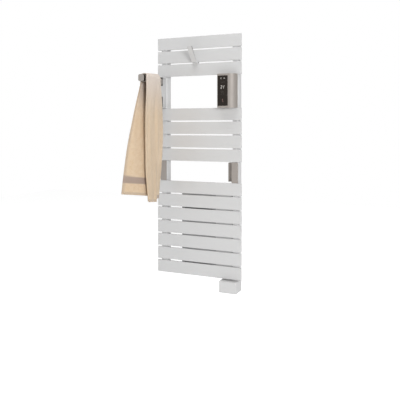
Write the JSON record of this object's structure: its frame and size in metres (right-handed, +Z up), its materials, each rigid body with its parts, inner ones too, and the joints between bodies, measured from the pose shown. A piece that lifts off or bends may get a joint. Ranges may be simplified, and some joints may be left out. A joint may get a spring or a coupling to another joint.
{
  "type": "electric towel radiator",
  "caption": "Wall-hung electric towel radiator with flat slats on two masts, fan heater behind, touch control, coat hook and a swivel towel bar with a draped towel.",
  "frame": {"origin": "middle of the wall rail's back face, in the wall plane and at the height of the second slat", "axes": "+X right as seen from the room, +Y into the wall, +Z up"},
  "size_m": [0.5643, 0.5412, 1.5223],
  "materials": {
    "white_paint": "semi-gloss epoxy powder coat",
    "taupe_paint": "fine metallic satin",
    "black_glass": "polished, back-printed black",
    "dark_plastic": "matt moulded",
    "grey_plastic": "matt moulded",
    "steel": "zinc plated",
    "aluminium": "mill finish",
    "circuit_board": "solder mask",
    "filter_plastic": "moulded frame with a fine screen",
    "towel_cloth": "cotton terry"
  },
  "bodies": {
    "radiator": {"slat_01": "white_paint", "slat_02": "white_paint", "slat_03": "white_paint", "slat_04": "white_paint", "slat_05": "white_paint", "slat_06": "white_paint", "slat_07": "white_paint", "slat_08": "white_paint", "slat_09": "white_paint", "slat_10": "white_paint", "slat_11": "white_paint", "slat_12": "white_paint", "slat_13": "white_paint", "slat_14": "white_paint", "mast_left": "white_paint", "mast_right": "white_paint", "filler_plug": "white_paint", "drain_plug": "white_paint", "heating_element": "steel", "connection_box_cover": "white_paint", "connection_box_base": "grey_plastic", "cable_gland": "dark_plastic", "terminal_block": "grey_plastic", "safety_thermostat": "steel", "blower_housing": "white_paint", "outlet_grille": "grey_plastic", "electronics_cover": "white_paint", "fan_motor": "aluminium", "fan_heating_cassette": "aluminium", "power_board": "circuit_board", "control_base": "taupe_paint", "control_case": "taupe_paint", "control_glass": "black_glass", "display_board": "circuit_board", "control_screw_1": "steel", "control_screw_2": "steel", "hinge_bracket": "white_paint", "hinge_pin": "steel", "bearing_sleeve": "dark_plastic", "bearing_washer": "dark_plastic", "bar_receiver_left": "taupe_paint", "bar_receiver_right": "taupe_paint", "coat_hook": "white_paint", "wall_rail": "steel", "rail_screw_1": "steel", "rail_screw_2": "steel", "rail_screw_3": "steel", "rail_screw_4": "steel", "upper_bracket_left": "white_paint", "upper_bracket_right": "white_paint", "lower_standoff_left": "white_paint", "lower_standoff_right": "white_paint"},
    "swing_arm": {"swing_hub": "dark_plastic", "swing_tube": "white_paint", "towel_bar": "taupe_paint", "bar_collar": "dark_plastic", "bar_end_cap": "taupe_paint", "towel": "towel_cloth"},
    "fan_wheel": {"fan_rotor": "dark_plastic"},
    "filter": {"air_filter": "filter_plastic"}
  },
  "joints": [
    {"name": "bar_swing", "type": "hinge", "parent": "radiator", "child": "swing_arm", "pos_m": [-0.231, -0.151, -0.2], "axis": [0, 0, 1], "range_deg": [-98, 67]},
    {"name": "fan_spin", "type": "hinge", "parent": "radiator", "child": "fan_wheel", "pos_m": [0, -0.046, -1.12], "axis": [1, 0, 0], "continuous": true},
    {"name": "filter_slide", "type": "slide", "parent": "radiator", "child": "filter", "axis": [0, 0, 1], "range_m": [0, 0.115]}
  ]
}
